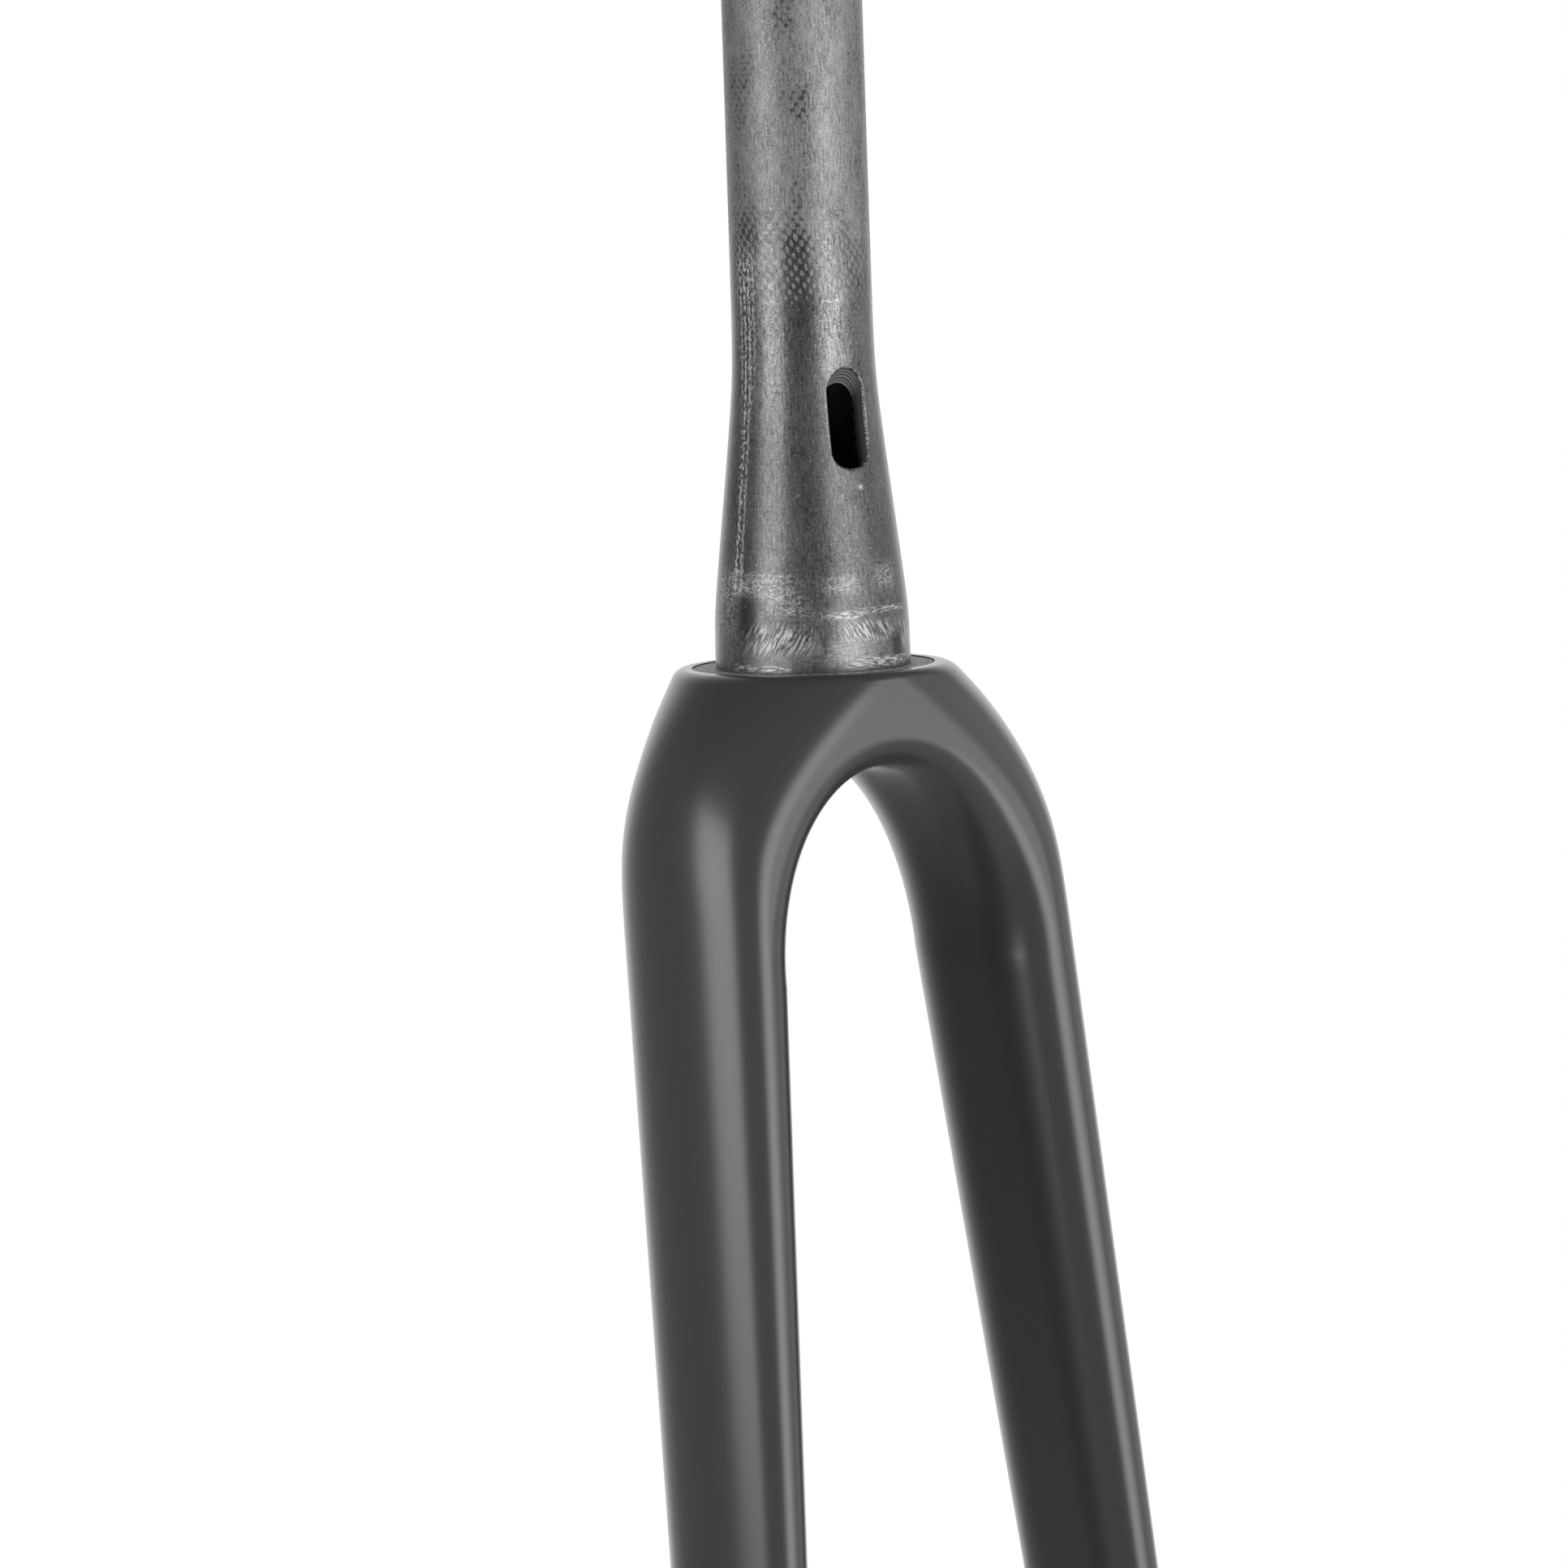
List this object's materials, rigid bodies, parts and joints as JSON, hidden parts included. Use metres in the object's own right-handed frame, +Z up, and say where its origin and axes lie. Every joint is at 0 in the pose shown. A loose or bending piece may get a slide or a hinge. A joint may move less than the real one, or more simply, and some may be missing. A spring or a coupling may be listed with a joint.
{
  "type": "rigid bicycle fork",
  "caption": "Rigid carbon bicycle fork with a tapered steerer, a hose port in its flare, satin black crown and oval legs, thru-axle dropouts and a flat brake mount.",
  "frame": {"origin": "on the steerer axis, in the flat face that the crown race seats on", "axes": "+Z up the steerer, -Y to the front of the bicycle, +X to the rider's left, the brake side"},
  "size_m": [0.124, 0.0957, 0.6976],
  "materials": {
    "carbon": "carbon fibre: satin black paint on crown and legs, bare sanded laminate on the steerer",
    "insert_aluminium": "turned",
    "grommet_rubber": "moulded"
  },
  "bodies": {
    "root": {"fork_body": "carbon", "axle_thread_insert": "insert_aluminium", "axle_sleeve_insert": "insert_aluminium", "brake_mount_inserts": "insert_aluminium", "hose_exit_grommet": "grommet_rubber"}
  },
  "joints": []
}
